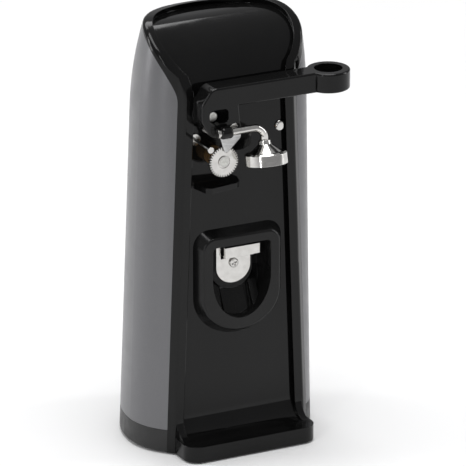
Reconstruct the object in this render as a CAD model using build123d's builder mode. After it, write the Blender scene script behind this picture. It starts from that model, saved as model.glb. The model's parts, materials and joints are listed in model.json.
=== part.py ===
"""Tall electric can opener, in millimetres.

+X is to the right, +Y to the back and +Z up. The origin is under the body, on the table.
"""

import os
from math import acos, atan2, cos, degrees, pi, radians, sin, sqrt, tan

from build123d import *

os.makedirs("parts", exist_ok=True)

# ---- Driving dimensions -------------------------------------------------------------------------

# Body outline in plan. It shrinks with height, and faster above the shoulder.
seam_y = -27.0
front_half_base, front_taper = 42.0, 0.0375
side_half_base, side_taper = 52.5, 0.0235
back_base, back_taper = 50.0, 0.05
widest_base, widest_taper = -3.0, 0.03
shoulder_z, shoulder_span = 185.0, 47.0
shoulder_side, shoulder_back = 4.0, 11.4
nose_depth, nose_slope = 13.0, 1.05
straight_heights, drooping_heights = (-2, 185), (185, 197, 209, 221, 232, 242)

# Side profile of the front cover: a vertical front, a quarter-round dome and a gently falling rear.
rim_depth, skin = 3.0, 2.5
dome_y, dome_z, dome_radius, rear_radius = 8.0, 196.0, 38.0, 90.0
rim_width = 5.0
wall, fit_gap = 2.6, 0.4
crest_y = dome_y - dome_radius
panel_back_y = seam_y + skin

# Base band, base plate, foot and tray.
foot_height, plate_bottom, plate_top, band_top = 1.6, 0.8, 3.3, 13.5
band_bottom, band_split_y = 0.9, 3.5
tray_front_y, tray_half, tray_top, tray_corner = -48.0, 38.4, 9.5, 8.0
ramp_radius, cheek_radius = 11.0, 10.0
shelf_z = 150.5
foot_outer, foot_inner, foot_front_y = 12.0, 18.0, -38.0
cord_z, gland_r, cord_hole_r, gland_inner_y, gland_outer_y = 27.0, 4.8, 3.25, 44.5, 49.1

# Bottle opener insert.
bezel_half, bezel_top, bezel_shoulder, bezel_bottom = 26.0, 123.0, 86.0, 63.0
bezel_rise, bezel_slant = 6.0, 3.6
mouth_half, mouth_top, mouth_shoulder, mouth_bottom = 17.2, 114.3, 96.0, 73.0
cavity_back_y, floor_skin = -16.0, 2.0
pad_front_y, pad_size = -21.0, (11.9, 113.0, 97.0, 85.5, 2.0)
plate_half, plate_high, plate_low, steel = 10.1, 111.6, 89.3, 1.6
plate_front_y = pad_front_y - steel
tongue_half, rib_span = 7.0, (9.3, 13.8)
tab_left, tab_right, tab_low, tab_high, tab_reach = -6.6, 14.0, 103.4, 110.6, 3.8
opener_screw_z, slit = 100.6, 0.8
mouth_size = (mouth_half, mouth_top, mouth_shoulder, mouth_bottom, 2.5)
plug_size = (mouth_half + 2.4, mouth_top + 2.4, mouth_shoulder, mouth_bottom - 2.4, 4.0)
pocket_size = (mouth_half + 2.7, mouth_top + 2.7, mouth_shoulder, mouth_bottom - 2.7, 4.3)

# Cutting mechanism, seen from the front as (x, z).
pivot_x, pivot_z = -20.0, 190.0
feed_x, feed_z = -14.5, 165.0
pin_x, pin_z = 25.2, 175.0
lever_front_y, lever_back_y = -43.3, -32.0
arm_low, arm_high, arm_end_x = 195.7, 206.7, 42.0
hub_left, hub_low, pocket_depth = -28.2, 179.6, 8.0
ring_x, ring_y, ring_outer, ring_inner = 48.0, -38.0, 11.6, 7.6
lever_shaft_r, running_gap = 3.0, 0.05
shaft_front_y, cam_y, cam_reach, cam_angle = -38.5, (-11.0, -6.0), 6.3, -75.0
blade_front_y, blade_back_y, rivet_x, rivet_z, rivet_r = -42.6, -41.4, -10.2, 184.3, 1.5
feed_shaft_r, bushing_r = 2.5, 5.0
wheel_front_y, wheel_back_y, wheel_r, wheel_teeth = -40.6, -38.6, 8.3, 36
rod_y, rod_z, rod_r, rod_bend, rod_drop_x, socket_x = -46.0, 183.0, 2.0, 6.5, 6.4, -16.0
magnet_tilt, magnet_z, magnet_r, magnet_height, neck_height = 12.0, 166.2, 11.2, 6.4, 9.7
pin_length = 18.6

# Gear train, motor and switch.
chassis_front_y, chassis_back_y = -22.0, -20.4
rear_plate_front_y, rear_plate_back_y = 1.0, 2.6
frame_half, frame_top, chassis_low, rear_plate_low = 36.0, 201.5, 126.0, 96.0
axle_r, gear_hub_r = 2.0, 3.2
module_small, module_big = 0.8, 1.0
motor_teeth, first_teeth, first_pinion, second_teeth, second_pinion, drive_teeth = 10, 48, 10, 40, 12, 36
pressure_angle, addendum, dedendum, backlash = 25.0, 0.9, 1.2, 0.24
drive_y, second_y, first_y = (-18.0, -13.0), (-11.0, -7.0), (-5.0, -1.5)
second_direction, first_direction = -12.0, -80.0
motor_x, motor_front_y, stack = 0.0, 8.0, 18.0
rotor_r, stator_bore, shaft_r, bearing_r = 13.0, 13.6, 2.0, 5.0
stator_half, stator_low, stator_top, motor_screw_x = 31.0, 62.0, 136.0, 25.0
window_half, window_low, window_high, coil_half, coil_depth = 19.0, 74.0, 96.0, 17.5, 9.0
fan_y, fan_r, fan_vanes = (31.8, 36.5), 19.0, 9
button_x, button_y, button_r, button_rise, switch_low, switch_top = -22.5, -8.5, 1.2, 1.2, 170.0, 182.0

# Air slots behind the fan.
slot_pitch, slot_half, slot_reach = 6.0, 1.3, 14.0

# Fasteners.
screw_r, screw_head_r, screw_head, screw_seat_y = 1.5, 3.0, 2.0, 22.0
cover_screw_places = [(-30.0, 32.0), (30.0, 32.0), (-26.0, 207.0), (26.0, 207.0)]
base_screw_places = [(-45.0, 2.0), (45.0, 2.0), (-27.0, 32.5), (27.0, 32.5)]
post_places = [(-31.0, 142.0), (33.6, 150.0), (-29.0, 197.0), (27.0, 193.0)]


# ---- Shared outlines ----------------------------------------------------------------------------

def body_section(height, inset=0.0):
    """Plan outline of the body at one height, moved inwards by inset."""
    droop = max(0.0, (height - shoulder_z) / shoulder_span) ** 2
    front = front_half_base - front_taper * height - inset
    side = side_half_base - side_taper * height - shoulder_side * droop - inset
    back = back_base - back_taper * height - shoulder_back * droop - inset
    widest = widest_base - widest_taper * height
    nose_y = seam_y - nose_depth
    nose = front - nose_depth * nose_slope
    with BuildSketch(Plane.XY.offset(height)) as section:
        with BuildLine():
            Line((-nose, nose_y), (nose, nose_y))
            Line((nose, nose_y), (front, seam_y))
            TangentArc((side, widest), (front, seam_y), tangent=(0, -1))
            EllipticalCenterArc((0, widest), side, back - widest, start_angle=0, arc_size=180)
            TangentArc((-side, widest), (-front, seam_y), tangent=(0, -1))
            Line((-front, seam_y), (-nose, nose_y))
        make_face()
    return section.sketch


def body_solid(inset=0.0):
    """The whole body, straight below the shoulder and drooping above it, moved inwards by inset."""
    with BuildPart() as body:
        loft([body_section(height, inset) for height in straight_heights], ruled=True)
        loft([body_section(height, inset) for height in drooping_heights])
    return body.part


def profile_solid(depth):
    """Everything behind and below the cover's crest surface, moved inwards by depth."""
    radius, rear = dome_radius - depth, rear_radius - depth
    top_z = dome_z + radius
    reach = 0.7
    with BuildPart() as region:
        with BuildSketch(Plane.YZ):
            with BuildLine():
                Line((dome_y - radius, -10), (dome_y - radius, dome_z))
                CenterArc((dome_y, dome_z), radius, start_angle=180, arc_size=-90)
                rear_arc = CenterArc((dome_y, top_z - rear), rear, start_angle=90, arc_size=-degrees(reach))
                rear_foot = ((rear_arc @ 1).X, -10)
                Line(rear_arc @ 1, rear_foot)
                Line(rear_foot, (dome_y - radius, -10))
            make_face()
        extrude(amount=80, both=True)
    return region.part


def shield(half, top, shoulder, bottom, corner, y):
    """Shield outline that faces the front: straight top, rounded corners and a round bottom."""
    with BuildSketch(Plane.XZ.offset(-y)) as outline:
        with BuildLine():
            Line((-half, shoulder), (-half, top - corner))
            RadiusArc((-half, top - corner), (-half + corner, top), corner)
            Line((-half + corner, top), (half - corner, top))
            RadiusArc((half - corner, top), (half, top - corner), corner)
            Line((half, top - corner), (half, shoulder))
            EllipticalCenterArc((0, shoulder), half, shoulder - bottom, start_angle=180, arc_size=180)
        make_face()
    return outline.sketch


def disc(x, z, y, radius, hole=0.0):
    """Disc or ring that faces the front, centred on (x, z)."""
    with BuildSketch(Plane.XZ.offset(-y)) as outline:
        with Locations((x, z)):
            Circle(radius)
            if hole:
                Circle(hole, mode=Mode.SUBTRACT)
    return outline.sketch


def block(x_span, y_span, z_span):
    """Box between two limits on each axis."""
    lows = [min(span) for span in (x_span, y_span, z_span)]
    sizes = [abs(span[1] - span[0]) for span in (x_span, y_span, z_span)]
    return Pos(*lows) * Box(*sizes, align=(Align.MIN, Align.MIN, Align.MIN), mode=Mode.PRIVATE)


def involute(angle):
    return tan(angle) - angle


def gear_outline(teeth, module, x, z, y, phase):
    """Involute gear that faces the front, centred on (x, z), with one tooth at the phase angle in degrees."""
    pitch_r = teeth * module / 2
    base_r = pitch_r * cos(radians(pressure_angle))
    tip_r, root_r = pitch_r + addendum * module, pitch_r - dedendum * module
    middle = pi / (2 * teeth) - backlash / (2 * pitch_r) + involute(radians(pressure_angle))
    radii = sorted({root_r, max(root_r, base_r), pitch_r, (pitch_r + tip_r) / 2, tip_r})
    flank = [(r, middle - involute(acos(min(1.0, base_r / r)))) for r in radii]
    turns = [(r, -half) for r, half in flank] + [(r, half) for r, half in reversed(flank)]
    points = []
    for tooth in range(teeth):
        centre = radians(phase) + 2 * pi * tooth / teeth
        points += [(x + r * cos(centre + turn), z + r * sin(centre + turn)) for r, turn in turns]
    with BuildSketch(Plane.XZ.offset(-y)) as outline:
        with BuildLine():
            Polyline(*points, close=True)
        make_face()
    return outline.sketch


def round_bar(x, z, y_span, radius, hole=0.0):
    """Bar or tube along Y, centred on (x, z)."""
    with BuildPart() as bar:
        extrude(disc(x, z, y_span[0], radius, hole), amount=y_span[0] - y_span[1])
    return bar.part


def upright_bar(x, y, z_span, radius, hole=0.0):
    """Bar or tube along Z, centred on (x, y)."""
    with BuildPart() as bar:
        with BuildSketch(Plane.XY.offset(z_span[0])):
            with Locations((x, y)):
                Circle(radius)
                if hole:
                    Circle(hole, mode=Mode.SUBTRACT)
        extrude(amount=z_span[1] - z_span[0])
    return bar.part


def screw_along_y(x, z, head_y, tip_y):
    """Pan-head screw along Y: its head starts at head_y and its tip is at tip_y."""
    neck_y = head_y + (screw_head if tip_y > head_y else -screw_head)
    with BuildPart() as screw:
        add(round_bar(x, z, (head_y, neck_y), screw_head_r))
        add(round_bar(x, z, (neck_y, tip_y), screw_r))
    return screw.part


def step_along(start, direction, distance):
    return (start[0] + distance * cos(radians(direction)), start[1] + distance * sin(radians(direction)))


def heading(start, end):
    return degrees(atan2(end[1] - start[1], end[0] - start[0]))


# Gear centres as (x, z), from the feed wheel down to the motor.
drive_axis = (feed_x, feed_z)
second_axis = step_along(drive_axis, second_direction, module_big * (drive_teeth + second_pinion) / 2)
first_axis = step_along(second_axis, first_direction, module_big * (second_teeth + first_pinion) / 2)
motor_reach = module_small * (first_teeth + motor_teeth) / 2
motor_z = first_axis[1] - sqrt(motor_reach**2 - (first_axis[0] - motor_x) ** 2)
motor_axis = (motor_x, motor_z)


# ---- Housing ------------------------------------------------------------------------------------

outer_body = body_solid()
wall_body = body_solid(wall)
rib_body = body_solid(wall / 2)
seam_region = profile_solid(rim_depth)
panel_skin = body_solid(wall + fit_gap) & (seam_region - profile_solid(rim_depth + skin))

with BuildPart() as front_cover:
    add(outer_body)
    add(profile_solid(0), mode=Mode.INTERSECT)
    crest_faces = front_cover.faces().filter_by(GeomType.CYLINDER) + front_cover.faces().filter_by(Axis.Y)
    fillet(crest_faces.edges().filter_by(GeomType.LINE, reverse=True), radius=2.0)
    add(seam_region, mode=Mode.SUBTRACT)
    add(body_solid(rim_width), mode=Mode.SUBTRACT)
    # The panel and the dome's floor are one skin behind the rim.
    add(panel_skin)
    # Can tray.
    with BuildSketch(Plane.XY.offset(band_bottom)) as tray_plan:
        with Locations((0, (tray_front_y + panel_back_y) / 2)):
            Rectangle(2 * tray_half, panel_back_y - tray_front_y)
        fillet(tray_plan.vertices().group_by(Axis.Y)[0], radius=tray_corner)
    extrude(amount=tray_top - band_bottom)
    # Ramp from the tray up to the panel.
    with BuildSketch(Plane.YZ) as ramp:
        with Locations((seam_y - ramp_radius / 2, tray_top + ramp_radius / 2)):
            Rectangle(ramp_radius + 2, ramp_radius)
        with Locations((seam_y - ramp_radius, tray_top + ramp_radius)):
            Circle(ramp_radius, mode=Mode.SUBTRACT)
    extrude(amount=tray_half - rim_width, both=True)
    # Cheeks from the tray's sides up to the rim.
    with BuildSketch(Plane.YZ.offset(tray_half - rim_width)) as cheek:
        with Locations((crest_y - cheek_radius / 2, tray_top + cheek_radius / 2)):
            Rectangle(cheek_radius + 2, cheek_radius)
        with Locations((crest_y - cheek_radius, tray_top + cheek_radius)):
            Circle(cheek_radius, mode=Mode.SUBTRACT)
    cheek_part = extrude(amount=rim_width - 1.2)
    mirror(cheek_part, about=Plane.YZ)
    # Flat underside, and the hollow of the tray that the base plate closes.
    add(block((-80, 80), (-60, 80), (-10, band_bottom)), mode=Mode.SUBTRACT)
    plate_room, hollow = tray_half - 2.8, tray_half - 4.3
    add(
        block((-plate_room, plate_room), (tray_front_y + skin, panel_back_y + 0.5), (0, plate_top + 0.2)),
        mode=Mode.SUBTRACT,
    )
    add(
        block((-hollow, hollow), (tray_front_y + skin, crest_y - 1), (0, tray_top - skin)),
        mode=Mode.SUBTRACT,
    )
    # Lever boss, shelf under the feed wheel, and bosses for screws.
    add(round_bar(pivot_x, pivot_z, (lever_back_y + fit_gap, panel_back_y), 7.5))
    with BuildSketch(Plane.XY.offset(shelf_z)) as shelf:
        with BuildLine():
            Polyline(
                (-25.5, -26), (-23.2, -37), (-20.5, -38.8), (-4.5, -36.2), (-2, -34), (0, -26),
                close=True,
            )
        make_face()
    extrude(amount=-3)
    bosses = [round_bar(x, z, (panel_back_y - 2, 0), 4.5) for x, z in cover_screw_places]
    bosses += [round_bar(x, z, (panel_back_y - 2, chassis_front_y), 3.6) for x, z in post_places]
    behind_panel = profile_solid(rim_depth + skin - 0.3)
    add([boss & behind_panel for boss in bosses])
    for x, z in cover_screw_places + post_places:
        add(round_bar(x, z, (panel_back_y, 1), screw_r), mode=Mode.SUBTRACT)
    # Openings for the lever shaft, feed bushing, guides and bottle opener.
    add(round_bar(pivot_x, pivot_z, (-40, -20), lever_shaft_r + running_gap), mode=Mode.SUBTRACT)
    add(round_bar(feed_x, feed_z, (-40, -20), bushing_r), mode=Mode.SUBTRACT)
    for x in (-pin_x, pin_x):
        add(round_bar(x, pin_z, (-40, -20), screw_r), mode=Mode.SUBTRACT)
    extrude(shield(*pocket_size, seam_y - 1), amount=-6, mode=Mode.SUBTRACT)
front_cover.part.label = "front_cover"
export_step(front_cover.part, "parts/front_cover.step")


def pillar_rib(x, y):
    """Web from a pillar to the wall: outwards on the sides, backwards at the rear."""
    if y < 20:
        return block((x, x * 1.125), (y - 1, y + 1), (band_top + 0.5, 27))
    return block((x - 1, x + 1), (y, y + 7.6), (band_top + 0.5, 27))


with BuildPart() as side_shell:
    add(outer_body)
    add(wall_body, mode=Mode.SUBTRACT)
    add(seam_region, mode=Mode.INTERSECT)
    add(block((-80, 80), (-60, 80), (-10, band_top + 0.2)), mode=Mode.SUBTRACT)
    # Deep screw tubes on the rear wall.
    add([round_bar(x, z, (0, 60), 4.8) & rib_body for x, z in cover_screw_places])
    for x, z in cover_screw_places:
        add(round_bar(x, z, (-1, 60), screw_r), mode=Mode.SUBTRACT)
        add(round_bar(x, z, (screw_seat_y - screw_head, 60), screw_head_r + 0.4), mode=Mode.SUBTRACT)
    # Pillars for the base screws, each joined to the wall by a rib.
    for x, y in base_screw_places:
        add(upright_bar(x, y, (plate_top, 28), 4.0))
        add(pillar_rib(x, y))
        add(upright_bar(x, y, (plate_top - 1, 22), screw_r), mode=Mode.SUBTRACT)
    # Air slots behind the fan, and the cord hole.
    for column in range(-3, 4):
        slot_x = (column * slot_pitch - slot_half, column * slot_pitch + slot_half)
        add(block(slot_x, (30, 60), (motor_z - slot_reach, motor_z + slot_reach)), mode=Mode.SUBTRACT)
    add(round_bar(0, cord_z, (30, 60), gland_r), mode=Mode.SUBTRACT)
side_shell.part.label = "side_shell"
export_step(side_shell.part, "parts/side_shell.step")

with BuildPart() as band:
    add(outer_body)
    add(block((-80, 80), (seam_y, 80), (band_bottom, band_top)), mode=Mode.INTERSECT)
    fillet(band.faces().sort_by(Axis.Z)[0].edges().filter_by(GeomType.LINE, reverse=True), radius=1.4)
    add(wall_body, mode=Mode.SUBTRACT)
    notch = tray_half + 0.2
    add(block((-notch, notch), (seam_y - 1, panel_back_y + 0.2), (0, 20)), mode=Mode.SUBTRACT)

seam_gap = 0.15
skirt_regions = {
    "skirt_left": block((-80, -1), (seam_y, band_split_y - seam_gap), (0, 20)),
    "skirt_right": block((1, 80), (seam_y, band_split_y - seam_gap), (0, 20)),
    "skirt_rear": block((-80, 80), (band_split_y + seam_gap, 80), (0, 20)),
}
for name, region in skirt_regions.items():
    with BuildPart() as skirt:
        add(band.part)
        add(region, mode=Mode.INTERSECT)
    skirt.part.label = name
    export_step(skirt.part, f"parts/{name}.step")


def base_outline(inset, front_y, height):
    """The body's plan outline at the table, moved inwards by inset and cut off at front_y."""
    with BuildSketch(Plane.XY.offset(height)) as outline:
        add(body_section(0, inset))
        with Locations((0, front_y - 50)):
            Rectangle(200, 100, mode=Mode.SUBTRACT)
    return outline.sketch


with BuildPart() as foot_ring:
    extrude(base_outline(foot_outer, foot_front_y, 0), amount=foot_height)
    foot_inside = base_outline(foot_inner, foot_front_y + foot_inner - foot_outer, 0)
    extrude(foot_inside, amount=foot_height, mode=Mode.SUBTRACT)
foot_ring.part.label = "foot_ring"
export_step(foot_ring.part, "parts/foot_ring.step")

with BuildPart() as base_plate:
    extrude(base_outline(wall + 0.3, panel_back_y + 0.5, plate_bottom), amount=plate_top - plate_bottom)
    tongue = tray_half - 3.3
    add(block((-tongue, tongue), (tray_front_y + skin + 0.3, 0), (plate_bottom, plate_top)))
    for x, y in base_screw_places:
        add(upright_bar(x, y, (0, 10), screw_r), mode=Mode.SUBTRACT)
        add(upright_bar(x, y, (0, plate_bottom + 1.2), screw_head_r + 0.3), mode=Mode.SUBTRACT)
    add(foot_ring.part, mode=Mode.SUBTRACT)
base_plate.part.label = "base_plate"
export_step(base_plate.part, "parts/base_plate.step")

with BuildPart() as base_screws:
    for x, y in base_screw_places:
        add(upright_bar(x, y, (plate_bottom, plate_bottom + 1.2), screw_head_r))
        add(upright_bar(x, y, (plate_bottom + 1.2, 18), screw_r))
base_screws.part.label = "base_screws"
export_step(base_screws.part, "parts/base_screws.step")

with BuildPart() as cover_screws:
    for x, z in cover_screw_places:
        add(screw_along_y(x, z, screw_seat_y, -14))
cover_screws.part.label = "cover_screws"
export_step(cover_screws.part, "parts/cover_screws.step")

with BuildPart() as cord_gland:
    add(round_bar(0, cord_z, (gland_inner_y, gland_outer_y), gland_r))
    add(round_bar(0, cord_z, (gland_outer_y, gland_outer_y + 2), gland_r + 2))
    add(round_bar(0, cord_z, (gland_inner_y - 3, gland_inner_y), gland_r + 1.5))
    add(round_bar(0, cord_z, (30, 60), cord_hole_r), mode=Mode.SUBTRACT)
cord_gland.part.label = "cord_gland"
export_step(cord_gland.part, "parts/cord_gland.step")

# ---- Bottle opener ------------------------------------------------------------------------------

bezel_front_y = seam_y - bezel_rise


def yz_prism(points, x_span):
    """Prism along X whose outline is given in (y, z)."""
    with BuildPart() as prism:
        with BuildSketch(Plane.YZ.offset(x_span[0])):
            with BuildLine():
                Polyline(*points, close=True)
            make_face()
        extrude(amount=x_span[1] - x_span[0])
    return prism.part


floor_y = cavity_back_y + floor_skin
# The mouth's floor rises forward to its lower edge: most on the tongue, less on the ribs and channels.
tongue_outline = [
    (floor_y, mouth_bottom - 2), (-27.5, mouth_bottom - 2), (-26.6, mouth_bottom + 0.5),
    (pad_front_y + 0.8, mouth_bottom + 13), (pad_front_y + 0.8, mouth_shoulder), (floor_y, mouth_shoulder),
]
rib_outline = [
    (floor_y, mouth_bottom - 2), (-29.0, mouth_bottom - 2), (-28.5, mouth_bottom + 2),
    (pad_front_y, mouth_bottom + 16), (cavity_back_y, mouth_bottom + 20), (floor_y, mouth_bottom + 20),
]
channel_outline = [
    (floor_y, mouth_bottom - 3), (-25.0, mouth_bottom - 3), (-24.0, mouth_bottom + 3),
    (cavity_back_y, mouth_bottom + 22), (floor_y, mouth_bottom + 22),
]

with BuildPart() as mouth_space:
    extrude(shield(*mouth_size, bezel_front_y - 1), amount=bezel_front_y - 1 - cavity_back_y)
    add(yz_prism(tongue_outline, (-tongue_half, tongue_half)), mode=Mode.SUBTRACT)
    add(yz_prism(rib_outline, rib_span), mode=Mode.SUBTRACT)
    add(yz_prism(rib_outline, (-rib_span[1], -rib_span[0])), mode=Mode.SUBTRACT)
    add(yz_prism(channel_outline, (-mouth_half - 1, mouth_half + 1)), mode=Mode.SUBTRACT)

with BuildPart() as opener_bezel:
    foot_size = (bezel_half, bezel_top, bezel_shoulder, bezel_bottom, 9)
    face_half, face_top = bezel_half - bezel_slant, bezel_top - bezel_slant
    face_size = (face_half, face_top, bezel_shoulder, bezel_bottom + bezel_slant, 7)
    loft([shield(*foot_size, seam_y), shield(*face_size, bezel_front_y)])
    fillet(opener_bezel.faces().sort_by(Axis.Y)[0].edges(), radius=1.6)
    extrude(shield(*plug_size, seam_y), amount=seam_y - floor_y)
    add(mouth_space.part, mode=Mode.SUBTRACT)
    extrude(shield(*pad_size, pad_front_y), amount=pad_front_y - cavity_back_y, mode=Mode.SUBTRACT)
opener_bezel.part.label = "opener_bezel"
export_step(opener_bezel.part, "parts/opener_bezel.step")

with BuildPart() as opener_pad:
    extrude(shield(*pad_size, pad_front_y), amount=pad_front_y - cavity_back_y)
    add(round_bar(0, opener_screw_z, (-40, 0), screw_r), mode=Mode.SUBTRACT)
opener_pad.part.label = "opener_pad"
export_step(opener_pad.part, "parts/opener_pad.step")

with BuildPart() as opener_plate:
    # U-shaped plate with a slit that leaves a narrow ear on the left.
    extrude(shield(plate_half, plate_high, plate_low + 9.5, plate_low, 1.0, plate_front_y), amount=-steel)
    add(block((tab_left - slit, 20), (-40, 0), (tab_low, 130)), mode=Mode.SUBTRACT)
    chamfer(opener_plate.edges().filter_by(Axis.Y).sort_by(Axis.Z)[-1], length=1.8)
    # Lifting tab: bent forward from the plate, then upright, and longer to the right.
    tab_back_y = plate_front_y - tab_reach + steel
    tab_outline = [
        (plate_front_y, tab_low - 0.6), (plate_front_y, tab_low), (plate_front_y - tab_reach, tab_low + 1.4),
        (plate_front_y - tab_reach, tab_high), (tab_back_y, tab_high), (tab_back_y, tab_low + 2.8),
        (pad_front_y, tab_low + 1.4), (pad_front_y, tab_low - 0.6),
    ]
    add(yz_prism(tab_outline, (tab_left, plate_half)))
    add(block((plate_half - 1, tab_right), (tab_back_y - steel, tab_back_y), (tab_low + 1.6, tab_high)))
    add(round_bar(0, opener_screw_z, (-40, 0), screw_r), mode=Mode.SUBTRACT)
opener_plate.part.label = "opener_plate"
export_step(opener_plate.part, "parts/opener_plate.step")

with BuildPart() as opener_screw:
    extrude(disc(0, opener_screw_z, plate_front_y, 2.6), amount=1.3)
    fillet(opener_screw.faces().sort_by(Axis.Y)[0].edges(), radius=0.7)
    add(round_bar(0, opener_screw_z, (plate_front_y, cavity_back_y), screw_r))
    with BuildSketch(Plane.XZ.offset(-(plate_front_y - 0.6))):
        with Locations((0, opener_screw_z)):
            Rectangle(3.2, 0.7, rotation=20)
            Rectangle(0.7, 3.2, rotation=20)
    extrude(amount=2, mode=Mode.SUBTRACT)
opener_screw.part.label = "opener_screw"
export_step(opener_screw.part, "parts/opener_screw.step")

# ---- Lever, blade and magnet --------------------------------------------------------------------

with BuildPart() as blade:
    with BuildSketch(Plane.XZ.offset(-blade_back_y)):
        with BuildLine():
            Polyline(
                (-18, 187), (-6.5, 187), (-5.6, 179.4), (-6.0, 177.0), (-10.6, 172.6), (-13.4, 170.4),
                (-14.6, 170.6), (-16.0, 174.4), (-17.2, 178.2),
                close=True,
            )
        make_face()
    extrude(amount=blade_back_y - blade_front_y)
    chamfer(blade.faces().sort_by(Axis.Y)[0].edges().sort_by(Axis.Z)[0:4], length=0.5)
    add(round_bar(rivet_x, rivet_z, (-60, -20), rivet_r), mode=Mode.SUBTRACT)
blade.part.label = "blade"
export_step(blade.part, "parts/blade.step")

with BuildPart() as blade_rivet:
    add(round_bar(rivet_x, rivet_z, (lever_front_y, lever_back_y - 1), rivet_r))
    add(round_bar(rivet_x, rivet_z, (lever_front_y - 0.4, lever_front_y), rivet_r + 0.7))
blade_rivet.part.label = "blade_rivet"
export_step(blade_rivet.part, "parts/blade_rivet.step")

with BuildPart() as finger_ring:
    add(upright_bar(ring_x, ring_y, (arm_low + 0.3, arm_high), ring_outer))
    fillet(finger_ring.edges().filter_by(GeomType.CIRCLE), radius=1.0)

with BuildPart() as rod_socket:
    with BuildSketch(Plane.YZ.offset(socket_x - 3.4)):
        with Locations((rod_y, rod_z)):
            Circle(3.3)
    extrude(amount=6.8)
    fillet(rod_socket.edges().filter_by(GeomType.CIRCLE), radius=1.6)

with BuildPart() as lever_arm:
    with BuildSketch(Plane.XZ.offset(-lever_back_y)):
        with BuildLine():
            hub_corners = [
                (-7.0, arm_low), (-5.5, hub_low + 0.9), (pivot_x - 3, hub_low), (hub_left, pivot_z - 1),
                (hub_left, arm_high - 8), (pivot_x - 2.5, arm_high), (arm_end_x, arm_high),
            ]
            hub_line = FilletPolyline(*hub_corners, radius=[1.2, 5, 5, 5, 5])
            Polyline(hub_line @ 1, (arm_end_x, arm_low), hub_line @ 0)
        make_face()
    extrude(amount=lever_back_y - lever_front_y)
    fillet(lever_arm.faces().sort_by(Axis.Y)[0].edges(), radius=1.0)
    add(finger_ring.part)
    add(upright_bar(ring_x, ring_y, (150, 250), ring_inner), mode=Mode.SUBTRACT)
    # Pocket in the hub's face, where the shaft end shows.
    with BuildSketch(Plane.XZ.offset(-(lever_front_y - 1))):
        with Locations((pivot_x + 1.4, pivot_z + 1.3)):
            RectangleRounded(11.0, 7.6, 2.5)
    extrude(amount=-(1 + pocket_depth), mode=Mode.SUBTRACT)
    # Socket for the magnet rod, on a short neck.
    add(round_bar(socket_x, rod_z, (rod_y, lever_front_y + 0.5), 2.4))
    add(rod_socket.part)
    with BuildSketch(Plane.YZ.offset(socket_x - 5)):
        with Locations((rod_y, rod_z)):
            Circle(rod_r + running_gap)
    extrude(amount=10, mode=Mode.SUBTRACT)
    # Holes for the shaft and rivet, and the slot for the blade.
    add(round_bar(pivot_x, pivot_z, (-60, -20), lever_shaft_r), mode=Mode.SUBTRACT)
    add(blade.part, mode=Mode.SUBTRACT)
    add(round_bar(rivet_x, rivet_z, (-60, lever_back_y - 1), rivet_r), mode=Mode.SUBTRACT)
lever_arm.part.label = "lever_arm"
export_step(lever_arm.part, "parts/lever_arm.step")

with BuildPart() as lever_shaft:
    add(round_bar(pivot_x, pivot_z, (shaft_front_y, cam_y[1]), lever_shaft_r))
    chamfer(lever_shaft.edges().filter_by(GeomType.CIRCLE), length=0.5)
lever_shaft.part.label = "lever_shaft"
export_step(lever_shaft.part, "parts/lever_shaft.step")

shaft_rings = {
    "lever_washer": (pivot_x, pivot_z, (-20.2, -19.5), 6.0, lever_shaft_r),
    "lever_clip": (pivot_x, pivot_z, (-19.4, -18.6), 5.2, lever_shaft_r),
    "feed_clip": (feed_x, feed_z, (drive_y[1], drive_y[1] + 0.8), 4.2, feed_shaft_r),
    "feed_nut": (feed_x, feed_z, (wheel_front_y - 0.3, wheel_front_y + 0.4), 3.0, feed_shaft_r),
}
for name, (x, z, y_span, radius, hole) in shaft_rings.items():
    with BuildPart() as ring:
        add(round_bar(x, z, y_span, radius, hole))
    ring.part.label = name
    export_step(ring.part, f"parts/{name}.step")

with BuildPart() as switch_cam:
    with BuildSketch(Plane.XZ.offset(-cam_y[0])):
        with Locations((pivot_x, pivot_z)):
            Circle(5.0)
        with Locations(step_along((pivot_x, pivot_z), cam_angle, cam_reach)):
            Circle(1.5)
        make_hull()
    extrude(amount=cam_y[0] - cam_y[1])
    add(round_bar(pivot_x, pivot_z, (-20, 0), lever_shaft_r), mode=Mode.SUBTRACT)
switch_cam.part.label = "switch_cam"
export_step(switch_cam.part, "parts/switch_cam.step")

cup_centre = Vector(rod_drop_x, rod_y - 2.0, magnet_z)
cup_axis = Vector(0, sin(radians(magnet_tilt)), cos(radians(magnet_tilt)))
cup_rim, cup_half = 0.9, magnet_height / 2
neck_end_z = magnet_z + neck_height * cup_axis.Z

with BuildPart() as magnet_rod:
    with BuildLine():
        rod_points = [
            (socket_x - 5, rod_y, rod_z),
            (rod_drop_x, rod_y, rod_z),
            (rod_drop_x, rod_y, neck_end_z - 1.8),
        ]
        rod_path = FilletPolyline(*rod_points, radius=rod_bend)
    with BuildSketch(Plane(rod_path @ 0, z_dir=rod_path % 0)):
        Circle(rod_r)
    sweep()
    with BuildSketch(Plane.YZ.offset(socket_x - 5)):
        with Locations((rod_y, rod_z)):
            Circle(rod_r + 0.4)
    extrude(amount=1.0)
magnet_rod.part.label = "magnet_rod"
export_step(magnet_rod.part, "parts/magnet_rod.step")

with BuildPart() as magnet_cup:
    with BuildSketch(Plane(cup_centre, x_dir=(1, 0, 0), z_dir=(0, -cup_axis.Z, cup_axis.Y))):
        with BuildLine():
            Polyline(
                (0, cup_half - 1.2), (magnet_r - cup_rim, cup_half - 1.2), (magnet_r - cup_rim, -cup_half),
                (magnet_r, -cup_half), (magnet_r, cup_half - 0.8), (magnet_r - 0.8, cup_half),
                (8.3, cup_half), (3.4, neck_height - 2.2), (3.0, neck_height), (0, neck_height),
                close=True,
            )
        make_face()
    revolve(axis=Axis(cup_centre, cup_axis))
    add(magnet_rod.part, mode=Mode.SUBTRACT)
magnet_cup.part.label = "magnet_cup"
export_step(magnet_cup.part, "parts/magnet_cup.step")

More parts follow.
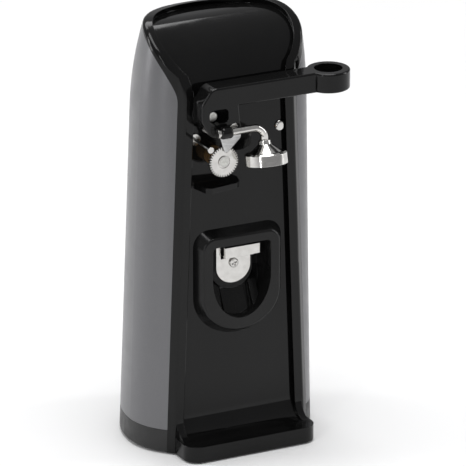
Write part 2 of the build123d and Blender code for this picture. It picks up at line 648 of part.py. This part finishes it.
with BuildPart() as magnet_disc:
    with BuildSketch(Plane(cup_centre - cup_axis * (cup_half - 0.3), x_dir=(1, 0, 0), z_dir=cup_axis)):
        Circle(magnet_r - cup_rim)
    extrude(amount=magnet_height - 1.5)
magnet_disc.part.label = "magnet_disc"
export_step(magnet_disc.part, "parts/magnet_disc.step")

# ---- Feed wheel, guides and gear frame ----------------------------------------------------------

with BuildPart() as feed_wheel:
    wheel_points = []
    for tooth in range(wheel_teeth):
        for turn, radius in ((-0.2, wheel_r), (0.2, wheel_r), (0.42, wheel_r - 1.15), (0.58, wheel_r - 1.15)):
            wheel_points.append(step_along((feed_x, feed_z), (tooth + turn) * 360 / wheel_teeth, radius))
    with BuildSketch(Plane.XZ.offset(-wheel_back_y)):
        with BuildLine():
            Polyline(*wheel_points, close=True)
        make_face()
    extrude(amount=wheel_back_y - wheel_front_y)
    add(round_bar(feed_x, feed_z, (wheel_back_y, wheel_back_y + 1.4), 4.4))
    add(round_bar(feed_x, feed_z, (wheel_front_y - 1, wheel_front_y + 0.4), 3.5), mode=Mode.SUBTRACT)
    add(round_bar(feed_x, feed_z, (-60, 0), feed_shaft_r), mode=Mode.SUBTRACT)
feed_wheel.part.label = "feed_wheel"
export_step(feed_wheel.part, "parts/feed_wheel.step")

with BuildPart() as feed_shaft:
    add(round_bar(feed_x, feed_z, (wheel_front_y - 0.4, drive_y[1] + 1.0), feed_shaft_r))
feed_shaft.part.label = "feed_shaft"
export_step(feed_shaft.part, "parts/feed_shaft.step")

with BuildPart() as feed_bushing:
    bushing_y = (wheel_back_y + 1.5, drive_y[0] - 1.1)
    add(round_bar(feed_x, feed_z, bushing_y, bushing_r, feed_shaft_r + running_gap))
feed_bushing.part.label = "feed_bushing"
export_step(feed_bushing.part, "parts/feed_bushing.step")

with BuildPart() as guide_pin:
    add(round_bar(-pin_x, pin_z, (seam_y - 1.2, seam_y), 3.1))
    add(round_bar(-pin_x, pin_z, (seam_y - pin_length, seam_y), 0.9))
    add(round_bar(-pin_x, pin_z, (seam_y - pin_length - 1.4, seam_y - pin_length), 1.7))
    add(round_bar(-pin_x, pin_z, (seam_y, chassis_back_y + 1), screw_r))
guide_pin.part.label = "guide_pin"
export_step(guide_pin.part, "parts/guide_pin.step")

with BuildPart() as guide_stud:
    add(round_bar(pin_x, pin_z, (seam_y - 1.5, seam_y), 3.1))
    fillet(guide_stud.faces().sort_by(Axis.Y)[0].edges(), radius=1.4)
    add(round_bar(pin_x, pin_z, (seam_y, chassis_back_y + 1), screw_r))
guide_stud.part.label = "guide_stud"
export_step(guide_stud.part, "parts/guide_stud.step")

shared_holes = [(x, z, screw_r) for x, z in post_places]
shared_holes += [(*second_axis, axle_r), (*first_axis, axle_r)]
chassis_holes = [(feed_x, feed_z, bushing_r), (pivot_x, pivot_z, lever_shaft_r + 0.3)]
chassis_holes += [(side * pin_x, pin_z, screw_r) for side in (-1, 1)]
rear_holes = [(*motor_axis, 6.0)]
rear_holes += [(motor_x + side * motor_screw_x, motor_z, screw_r) for side in (-1, 1)]
frame_plates = {
    "chassis_plate": (chassis_front_y, chassis_back_y, chassis_low, chassis_holes),
    "rear_plate": (rear_plate_front_y, rear_plate_back_y, rear_plate_low, rear_holes),
}
for name, (front, rear, low, own_holes) in frame_plates.items():
    with BuildPart() as plate:
        with BuildSketch(Plane.XZ.offset(-rear)):
            with Locations((0, (low + frame_top) / 2)):
                RectangleRounded(2 * frame_half, frame_top - low, 5)
        extrude(amount=rear - front)
        for x, z, radius in shared_holes + own_holes:
            add(round_bar(x, z, (front - 1, rear + 1), radius), mode=Mode.SUBTRACT)
    plate.part.label = name
    export_step(plate.part, f"parts/{name}.step")

with BuildPart() as spacer_posts:
    for x, z in post_places:
        add(round_bar(x, z, (chassis_back_y, rear_plate_front_y), 3.2, screw_r))
spacer_posts.part.label = "spacer_posts"
export_step(spacer_posts.part, "parts/spacer_posts.step")

with BuildPart() as frame_screws:
    for x, z in post_places:
        add(screw_along_y(x, z, rear_plate_back_y + screw_head, panel_back_y + 0.2))
frame_screws.part.label = "frame_screws"
export_step(frame_screws.part, "parts/frame_screws.step")

# ---- Gears --------------------------------------------------------------------------------------

with BuildPart() as gear_axles:
    for x, z in (second_axis, first_axis):
        add(round_bar(x, z, (chassis_front_y, rear_plate_back_y), axle_r))
gear_axles.part.label = "gear_axles"
export_step(gear_axles.part, "parts/gear_axles.step")

to_first = heading(motor_axis, first_axis)
to_second = heading(first_axis, second_axis)
to_drive = heading(second_axis, drive_axis)

with BuildPart() as drive_gear:
    phase = to_drive + 180 - 180 / drive_teeth
    drive_outline = gear_outline(drive_teeth, module_big, *drive_axis, drive_y[0], phase)
    extrude(drive_outline, amount=drive_y[0] - drive_y[1])
    add(round_bar(*drive_axis, (drive_y[0] - 1.0, drive_y[0]), 4.6))
    add(round_bar(*drive_axis, (-60, 0), feed_shaft_r), mode=Mode.SUBTRACT)
drive_gear.part.label = "drive_gear"
export_step(drive_gear.part, "parts/drive_gear.step")

# Each compound gear: its axis, its wheel (teeth, module, y, heading), and its pinion (teeth, y, heading).
gear_layouts = {
    "second_gear": (
        second_axis,
        (second_teeth, module_big, second_y, to_second),
        (second_pinion, drive_y, to_drive),
    ),
    "first_gear": (
        first_axis,
        (first_teeth, module_small, first_y, to_first),
        (first_pinion, second_y, to_second),
    ),
}
for name, (axis, wheel, small) in gear_layouts.items():
    teeth, module, span, arriving = wheel
    pinion_teeth, pinion_span, leaving = small
    with BuildPart() as gear:
        phase = arriving + 180 - 180 / teeth
        extrude(gear_outline(teeth, module, *axis, span[0], phase), amount=span[0] - span[1])
        pinion_outline = gear_outline(pinion_teeth, module_big, *axis, pinion_span[0], leaving)
        extrude(pinion_outline, amount=pinion_span[0] - span[0])
        add(round_bar(*axis, (chassis_back_y + 0.2, rear_plate_front_y - 0.2), gear_hub_r))
        add(round_bar(*axis, (-60, 20), axle_r + running_gap), mode=Mode.SUBTRACT)
    gear.part.label = name
    export_step(gear.part, f"parts/{name}.step")

# ---- Motor --------------------------------------------------------------------------------------

motor_back_y = motor_front_y + stack
with BuildPart() as motor_stator:
    with BuildSketch(Plane.XZ.offset(-motor_back_y)) as lamination:
        with Locations((motor_x, (stator_top + stator_low) / 2)):
            Rectangle(2 * stator_half, stator_top - stator_low)
        with Locations((motor_x, motor_z)):
            Circle(stator_bore, mode=Mode.SUBTRACT)
        with Locations((motor_x, (window_low + window_high) / 2)):
            Rectangle(2 * window_half, window_high - window_low, mode=Mode.SUBTRACT)
        with Locations((motor_x - motor_screw_x, motor_z), (motor_x + motor_screw_x, motor_z)):
            Circle(screw_r, mode=Mode.SUBTRACT)
    extrude(amount=stack)
motor_stator.part.label = "motor_stator"
export_step(motor_stator.part, "parts/motor_stator.step")

with BuildPart() as motor_coil:
    coil_y = (motor_front_y - coil_depth, motor_back_y + coil_depth)
    add(block((-coil_half, coil_half), coil_y, (stator_low - coil_depth, window_low + coil_depth)))
    fillet(motor_coil.edges().filter_by(Axis.X), radius=5)
    core = block((-60, 60), (motor_front_y, motor_back_y), (stator_low, window_low))
    add(core, mode=Mode.SUBTRACT)
motor_coil.part.label = "motor_coil"
export_step(motor_coil.part, "parts/motor_coil.step")

with BuildPart() as coil_flanges:
    for side in (-1, 1):
        flange_x = (side * coil_half, side * (coil_half + 1.4))
        flange_z = (stator_low - coil_depth - 1, window_low + coil_depth + 1)
        add(block(flange_x, (coil_y[0] - 1, coil_y[1] + 1), flange_z))
    add(core, mode=Mode.SUBTRACT)
coil_flanges.part.label = "coil_flanges"
export_step(coil_flanges.part, "parts/coil_flanges.step")

with BuildPart() as motor_rotor:
    add(round_bar(*motor_axis, (motor_front_y, motor_back_y), rotor_r))
    add(round_bar(*motor_axis, (motor_front_y - 0.6, motor_back_y + 0.6), rotor_r - 4))
    add(round_bar(*motor_axis, (first_y[0] - 0.4, fan_y[1] + 0.5), shaft_r))
motor_rotor.part.label = "motor_rotor"
export_step(motor_rotor.part, "parts/motor_rotor.step")

with BuildPart() as motor_pinion:
    motor_outline = gear_outline(motor_teeth, module_small, *motor_axis, first_y[0], to_first)
    extrude(motor_outline, amount=first_y[0] - first_y[1])
    add(round_bar(*motor_axis, (-60, 60), shaft_r), mode=Mode.SUBTRACT)
motor_pinion.part.label = "motor_pinion"
export_step(motor_pinion.part, "parts/motor_pinion.step")

with BuildPart() as motor_fan:
    add(round_bar(*motor_axis, fan_y, 5.0))
    add(round_bar(*motor_axis, (fan_y[0], fan_y[0] + 1.2), fan_r))
    with BuildSketch(Plane.XZ.offset(-fan_y[0])):
        with Locations((motor_x, motor_z)):
            with PolarLocations(fan_r / 2 + 2, fan_vanes):
                Rectangle(fan_r - 5, 1.0)
    extrude(amount=fan_y[0] - fan_y[1])
    add(round_bar(*motor_axis, (-60, 60), shaft_r), mode=Mode.SUBTRACT)
motor_fan.part.label = "motor_fan"
export_step(motor_fan.part, "parts/motor_fan.step")

bracket_reach, bracket_thick = 3.0, 1.4
bracket_back_y = motor_back_y + bracket_reach
bracket_spans = {
    "motor_bracket_front": (motor_front_y - bracket_reach, (rear_plate_back_y, motor_front_y)),
    "motor_bracket_rear": (bracket_back_y - bracket_thick, (motor_back_y, bracket_back_y)),
}
for name, (front, pillar_y) in bracket_spans.items():
    with BuildPart() as bracket:
        with BuildSketch(Plane.XZ.offset(-front)):
            with Locations((motor_x, motor_z)):
                SlotCenterToCenter(2 * motor_screw_x, 11)
                Circle(9)
                Circle(bearing_r, mode=Mode.SUBTRACT)
        extrude(amount=-bracket_thick)
        for side in (-motor_screw_x, motor_screw_x):
            add(round_bar(motor_x + side, motor_z, pillar_y, 4.0))
            add(round_bar(motor_x + side, motor_z, (-60, 60), screw_r), mode=Mode.SUBTRACT)
    bracket.part.label = name
    export_step(bracket.part, f"parts/{name}.step")

with BuildPart() as motor_bearings:
    for front in (motor_front_y - 4.2, motor_back_y + 1.0):
        add(round_bar(*motor_axis, (front, front + 3.2), bearing_r, shaft_r + running_gap))
motor_bearings.part.label = "motor_bearings"
export_step(motor_bearings.part, "parts/motor_bearings.step")

with BuildPart() as motor_screws:
    for side in (-motor_screw_x, motor_screw_x):
        add(screw_along_y(motor_x + side, motor_z, bracket_back_y + screw_head, rear_plate_front_y - 1))
motor_screws.part.label = "motor_screws"
export_step(motor_screws.part, "parts/motor_screws.step")

# ---- Switch -------------------------------------------------------------------------------------

with BuildPart() as switch_body:
    switch_x, switch_y = (button_x - 5.5, button_x + 8.5), (cam_y[0] - 0.5, rear_plate_front_y)
    add(block(switch_x, switch_y, (switch_low, switch_top)))
    fillet(switch_body.edges().filter_by(Axis.Z), radius=0.8)
    button_well = upright_bar(button_x, button_y, (switch_top - 4, switch_top + 1), button_r + running_gap)
    add(button_well, mode=Mode.SUBTRACT)
switch_body.part.label = "switch_body"
export_step(switch_body.part, "parts/switch_body.step")

with BuildPart() as switch_button:
    add(upright_bar(button_x, button_y, (switch_top - 2.2, switch_top + button_rise), button_r))
    fillet(switch_button.edges().group_by(Axis.Z)[-1], radius=0.4)
switch_button.part.label = "switch_button"
export_step(switch_button.part, "parts/switch_button.step")
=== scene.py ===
"""Studio scene for the electric can opener, in metres: materials, floor, lights and camera."""

import json
from math import cos, radians, sin

import bpy
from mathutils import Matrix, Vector

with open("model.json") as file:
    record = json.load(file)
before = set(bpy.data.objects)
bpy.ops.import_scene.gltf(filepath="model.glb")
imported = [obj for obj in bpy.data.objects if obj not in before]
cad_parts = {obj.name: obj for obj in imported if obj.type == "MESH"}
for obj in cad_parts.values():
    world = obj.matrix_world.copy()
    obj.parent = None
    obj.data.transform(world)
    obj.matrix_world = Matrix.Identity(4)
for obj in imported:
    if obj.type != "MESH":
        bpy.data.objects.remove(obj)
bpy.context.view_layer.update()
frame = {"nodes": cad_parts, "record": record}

# ---- Camera -------------------------------------------------------------------------------------

camera_azimuth, camera_elevation = radians(26.7), radians(20.2)
camera_distance, camera_lens, sensor_width, nearest = 2.97, 424.9, 36.0, 0.05
camera_target = Vector((0.02516, 0.0278, 0.0964))
towards_camera = Vector((
    -sin(camera_azimuth) * cos(camera_elevation),
    -cos(camera_azimuth) * cos(camera_elevation),
    sin(camera_elevation),
))

camera = bpy.data.objects.new("camera", bpy.data.cameras.new("camera"))
bpy.context.scene.collection.objects.link(camera)
camera.location = camera_target + camera_distance * towards_camera
camera.rotation_euler = (-towards_camera).to_track_quat("-Z", "Y").to_euler()
camera.data.lens = camera_lens
camera.data.sensor_width = sensor_width
camera.data.clip_start = nearest
bpy.context.scene.camera = camera
bpy.context.scene.view_settings.view_transform = "Standard"


# ---- Material tools -----------------------------------------------------------------------------

class Recipe:
    """A procedural material: a Principled shader whose colour, roughness and bump come from noise."""

    def __init__(self, name, **values):
        self.material = bpy.data.materials.new(name)
        self.material.use_nodes = True
        self.tree = self.material.node_tree
        self.shader = self.tree.nodes["Principled BSDF"]
        self.place = self.add("ShaderNodeTexCoord").outputs["Object"]
        for socket, value in values.items():
            self.shader.inputs[socket.replace("_", " ")].default_value = value

    def add(self, kind, **settings):
        node = self.tree.nodes.new(kind)
        for key, value in settings.items():
            setattr(node, key, value)
        return node

    def link(self, source, target):
        self.tree.links.new(source, target)

    def noise(self, scale, detail=3.0, stretch=(1, 1, 1)):
        """Noise in object space, in cycles per metre, squeezed along each axis by stretch."""
        mapping = self.add("ShaderNodeMapping")
        mapping.inputs["Scale"].default_value = stretch
        texture = self.add("ShaderNodeTexNoise")
        texture.inputs["Scale"].default_value = scale
        texture.inputs["Detail"].default_value = detail
        self.link(self.place, mapping.inputs["Vector"])
        self.link(mapping.outputs["Vector"], texture.inputs["Vector"])
        return texture.outputs["Fac"]

    def ramp(self, source, start, end, low=0.35, high=0.65):
        """A colour ramp from start to end; each is a grey value or an (r, g, b)."""
        ramp = self.add("ShaderNodeValToRGB")
        stops = ramp.color_ramp.elements
        for stop, place, value in ((stops[0], low, start), (stops[1], high, end)):
            colour = value if isinstance(value, tuple) else (value, value, value)
            stop.position = place
            stop.color = (*colour, 1.0)
        self.link(source, ramp.inputs["Fac"])
        return ramp.outputs["Color"]

    def colour(self, source, start, end, **limits):
        self.link(self.ramp(source, start, end, **limits), self.shader.inputs["Base Color"])

    def rough(self, source, start, end, **limits):
        self.link(self.ramp(source, start, end, **limits), self.shader.inputs["Roughness"])

    def bump(self, source, strength, distance, edge=0.0):
        """Surface relief from a height source, over rounded edges when edge is given."""
        node = self.add("ShaderNodeBump")
        node.inputs["Strength"].default_value = strength
        node.inputs["Distance"].default_value = distance
        self.link(source, node.inputs["Height"])
        if edge:
            bevel = self.add("ShaderNodeBevel", samples=6)
            bevel.inputs["Radius"].default_value = edge
            self.link(bevel.outputs["Normal"], node.inputs["Normal"])
        self.link(node.outputs["Normal"], self.shader.inputs["Normal"])


def gloss_plastic(name, dark, light, rough=(0.05, 0.11), edge=0.0004, index=1.33):
    """Glossy moulded plastic: faint flow marks in the colour, fine haze in the gloss."""
    recipe = Recipe(name, IOR=index)
    recipe.colour(recipe.noise(26, 4, (1, 1, 0.4)), dark, light)
    recipe.rough(recipe.noise(140, 5), *rough)
    recipe.bump(recipe.noise(320, 2), 0.02, 0.0002, edge)
    return recipe.material


def satin_plastic(name, dark, light, rough=(0.34, 0.48), grain=2600, strength=0.12, edge=0.0003):
    """Moulded plastic with a fine spark-eroded grain."""
    recipe = Recipe(name, IOR=1.48)
    recipe.colour(recipe.noise(40, 4), dark, light)
    recipe.rough(recipe.noise(220, 4), *rough)
    recipe.bump(recipe.noise(grain, 2), strength, 0.00012, edge)
    return recipe.material


def metallic_paint(name, dark, light):
    """Satin metallic paint: bright flakes in a grey base, under a soft clear layer."""
    recipe = Recipe(name, Metallic=0.55, Coat_Weight=0.15, Coat_Roughness=0.25, IOR=1.45)
    recipe.colour(recipe.noise(5200, 2), dark, light, low=0.3, high=0.7)
    recipe.rough(recipe.noise(90, 4), 0.34, 0.40)
    recipe.bump(recipe.noise(3400, 2), 0.10, 0.00008, 0.0004)
    return recipe.material


def steel(name, dark, light, rough, grain=(1, 1, 1), scale=900, strength=0.05, edge=0.00025):
    """Bare or plated metal whose grain runs along the axis that grain squeezes."""
    recipe = Recipe(name, Metallic=1.0)
    recipe.colour(recipe.noise(scale, 4, grain), dark, light)
    recipe.rough(recipe.noise(scale * 1.4, 4, grain), *rough)
    recipe.bump(recipe.noise(scale * 2, 3, grain), strength, 0.00006, edge)
    return recipe.material


def rubber(name, dark, light):
    recipe = Recipe(name, IOR=1.45, Sheen_Weight=0.15, Sheen_Roughness=0.4)
    recipe.colour(recipe.noise(300, 5), dark, light)
    recipe.rough(recipe.noise(700, 4), 0.62, 0.8)
    recipe.bump(recipe.noise(3000, 3), 0.2, 0.00015, 0.0003)
    return recipe.material


def winding(name):
    """Enamelled copper wire in close turns around the core's X axis."""
    recipe = Recipe(name, Metallic=0.85)
    bands = recipe.add("ShaderNodeTexWave", bands_direction="X")
    bands.inputs["Scale"].default_value = 420.0
    bands.inputs["Distortion"].default_value = 0.6
    recipe.link(recipe.place, bands.inputs["Vector"])
    recipe.colour(bands.outputs["Fac"], (0.20, 0.06, 0.025), (0.62, 0.25, 0.11), low=0.1, high=0.8)
    recipe.rough(recipe.noise(500), 0.22, 0.34)
    recipe.bump(bands.outputs["Fac"], 0.6, 0.0003)
    return recipe.material


def laminations(name):
    """Stacked sheet steel: thin dark lines between the sheets along Y."""
    recipe = Recipe(name, Metallic=0.9)
    bands = recipe.add("ShaderNodeTexWave", bands_direction="Y")
    bands.inputs["Scale"].default_value = 300.0
    recipe.link(recipe.place, bands.inputs["Vector"])
    recipe.colour(bands.outputs["Fac"], (0.05, 0.05, 0.055), (0.30, 0.29, 0.28), low=0.05, high=0.5)
    recipe.rough(recipe.noise(600), 0.38, 0.55)
    recipe.bump(bands.outputs["Fac"], 0.3, 0.0001)
    return recipe.material


materials = {
    "black_gloss": gloss_plastic("black_gloss", 0.0030, 0.0045, rough=(0.06, 0.10)),
    "bezel_black": gloss_plastic("bezel_black", 0.006, 0.009, rough=(0.16, 0.22)),
    "grey_shell": metallic_paint("grey_shell", (0.118, 0.118, 0.124), (0.162, 0.162, 0.168)),
    "black_satin": satin_plastic("black_satin", 0.006, 0.010),
    "fan_plastic": satin_plastic("fan_plastic", 0.012, 0.022),
    "gear_white": satin_plastic("gear_white", (0.66, 0.64, 0.57), (0.78, 0.76, 0.70), grain=1400),
    "switch_red": satin_plastic("switch_red", (0.30, 0.025, 0.02), (0.40, 0.045, 0.035)),
    "rubber_black": rubber("rubber_black", 0.012, 0.022),
    "polished_steel": steel(
        "polished_steel", (0.56, 0.55, 0.53), (0.64, 0.63, 0.61), (0.10, 0.16), scale=300, strength=0.01
    ),
    "blade_steel": steel("blade_steel", 0.40, 0.52, (0.20, 0.30), grain=(0.15, 1, 1), scale=1500),
    "plated_steel": steel("plated_steel", (0.50, 0.50, 0.47), (0.66, 0.66, 0.63), (0.28, 0.42)),
    "magnet_face": steel(
        "magnet_face", (0.16, 0.155, 0.15), (0.26, 0.25, 0.245), (0.45, 0.6), strength=0.15
    ),
    "bronze": steel("bronze", (0.42, 0.24, 0.10), (0.58, 0.36, 0.17), (0.34, 0.5), strength=0.15),
    "copper": winding("copper"),
    "lamination": laminations("lamination"),
}

for entry in frame["record"]["subparts"]:
    node = frame["nodes"][entry["node"]]
    for slot in node.material_slots:
        slot.material = materials[entry["material_slot"]]


# ---- Floor and light ----------------------------------------------------------------------------

def plane_mesh(name, half):
    mesh = bpy.data.meshes.new(name)
    corners = [(-half, -half, 0), (half, -half, 0), (half, half, 0), (-half, half, 0)]
    mesh.from_pydata(corners, [], [(0, 1, 2, 3)])
    return mesh


floor_half = 8.0
floor = bpy.data.objects.new("floor", plane_mesh("floor", floor_half))
bpy.context.scene.collection.objects.link(floor)
floor_recipe = Recipe("floor_paper", IOR=1.3, Specular_IOR_Level=0.1)
floor_recipe.colour(floor_recipe.noise(3, 3), 0.86, 0.89)
floor_recipe.rough(floor_recipe.noise(60, 3), 0.85, 0.95)
floor.data.materials.append(floor_recipe.material)


def soft_box(name, place, size, power, aim=(0.0, 0.0, 0.11)):
    """A rectangular area light at place that faces aim."""
    data = bpy.data.lights.new(name, "AREA")
    data.shape = "RECTANGLE"
    data.size, data.size_y = size
    data.energy = power
    light = bpy.data.objects.new(name, data)
    light.location = place
    light.rotation_euler = (Vector(aim) - Vector(place)).to_track_quat("-Z", "Y").to_euler()
    bpy.context.scene.collection.objects.link(light)


soft_box("overhead", (0.0, -0.1, 2.0), (1.3, 1.3), 26)
soft_box("left_side", (-1.5, 0.9, 0.6), (0.45, 1.4), 12)
soft_box("front_left", (-1.6, -1.1, 0.6), (0.12, 1.2), 6)
soft_box("right_side", (1.7, -0.5, 0.7), (0.35, 1.3), 8)
soft_box("behind", (0.3, 1.5, 2.0), (1.4, 0.8), 12)

world = bpy.data.worlds.new("studio")
world.use_nodes = True
backdrop = world.node_tree.nodes["Background"]
backdrop.inputs["Color"].default_value = (0.62, 0.62, 0.63, 1.0)
backdrop.inputs["Strength"].default_value = 0.55
bpy.context.scene.world = world
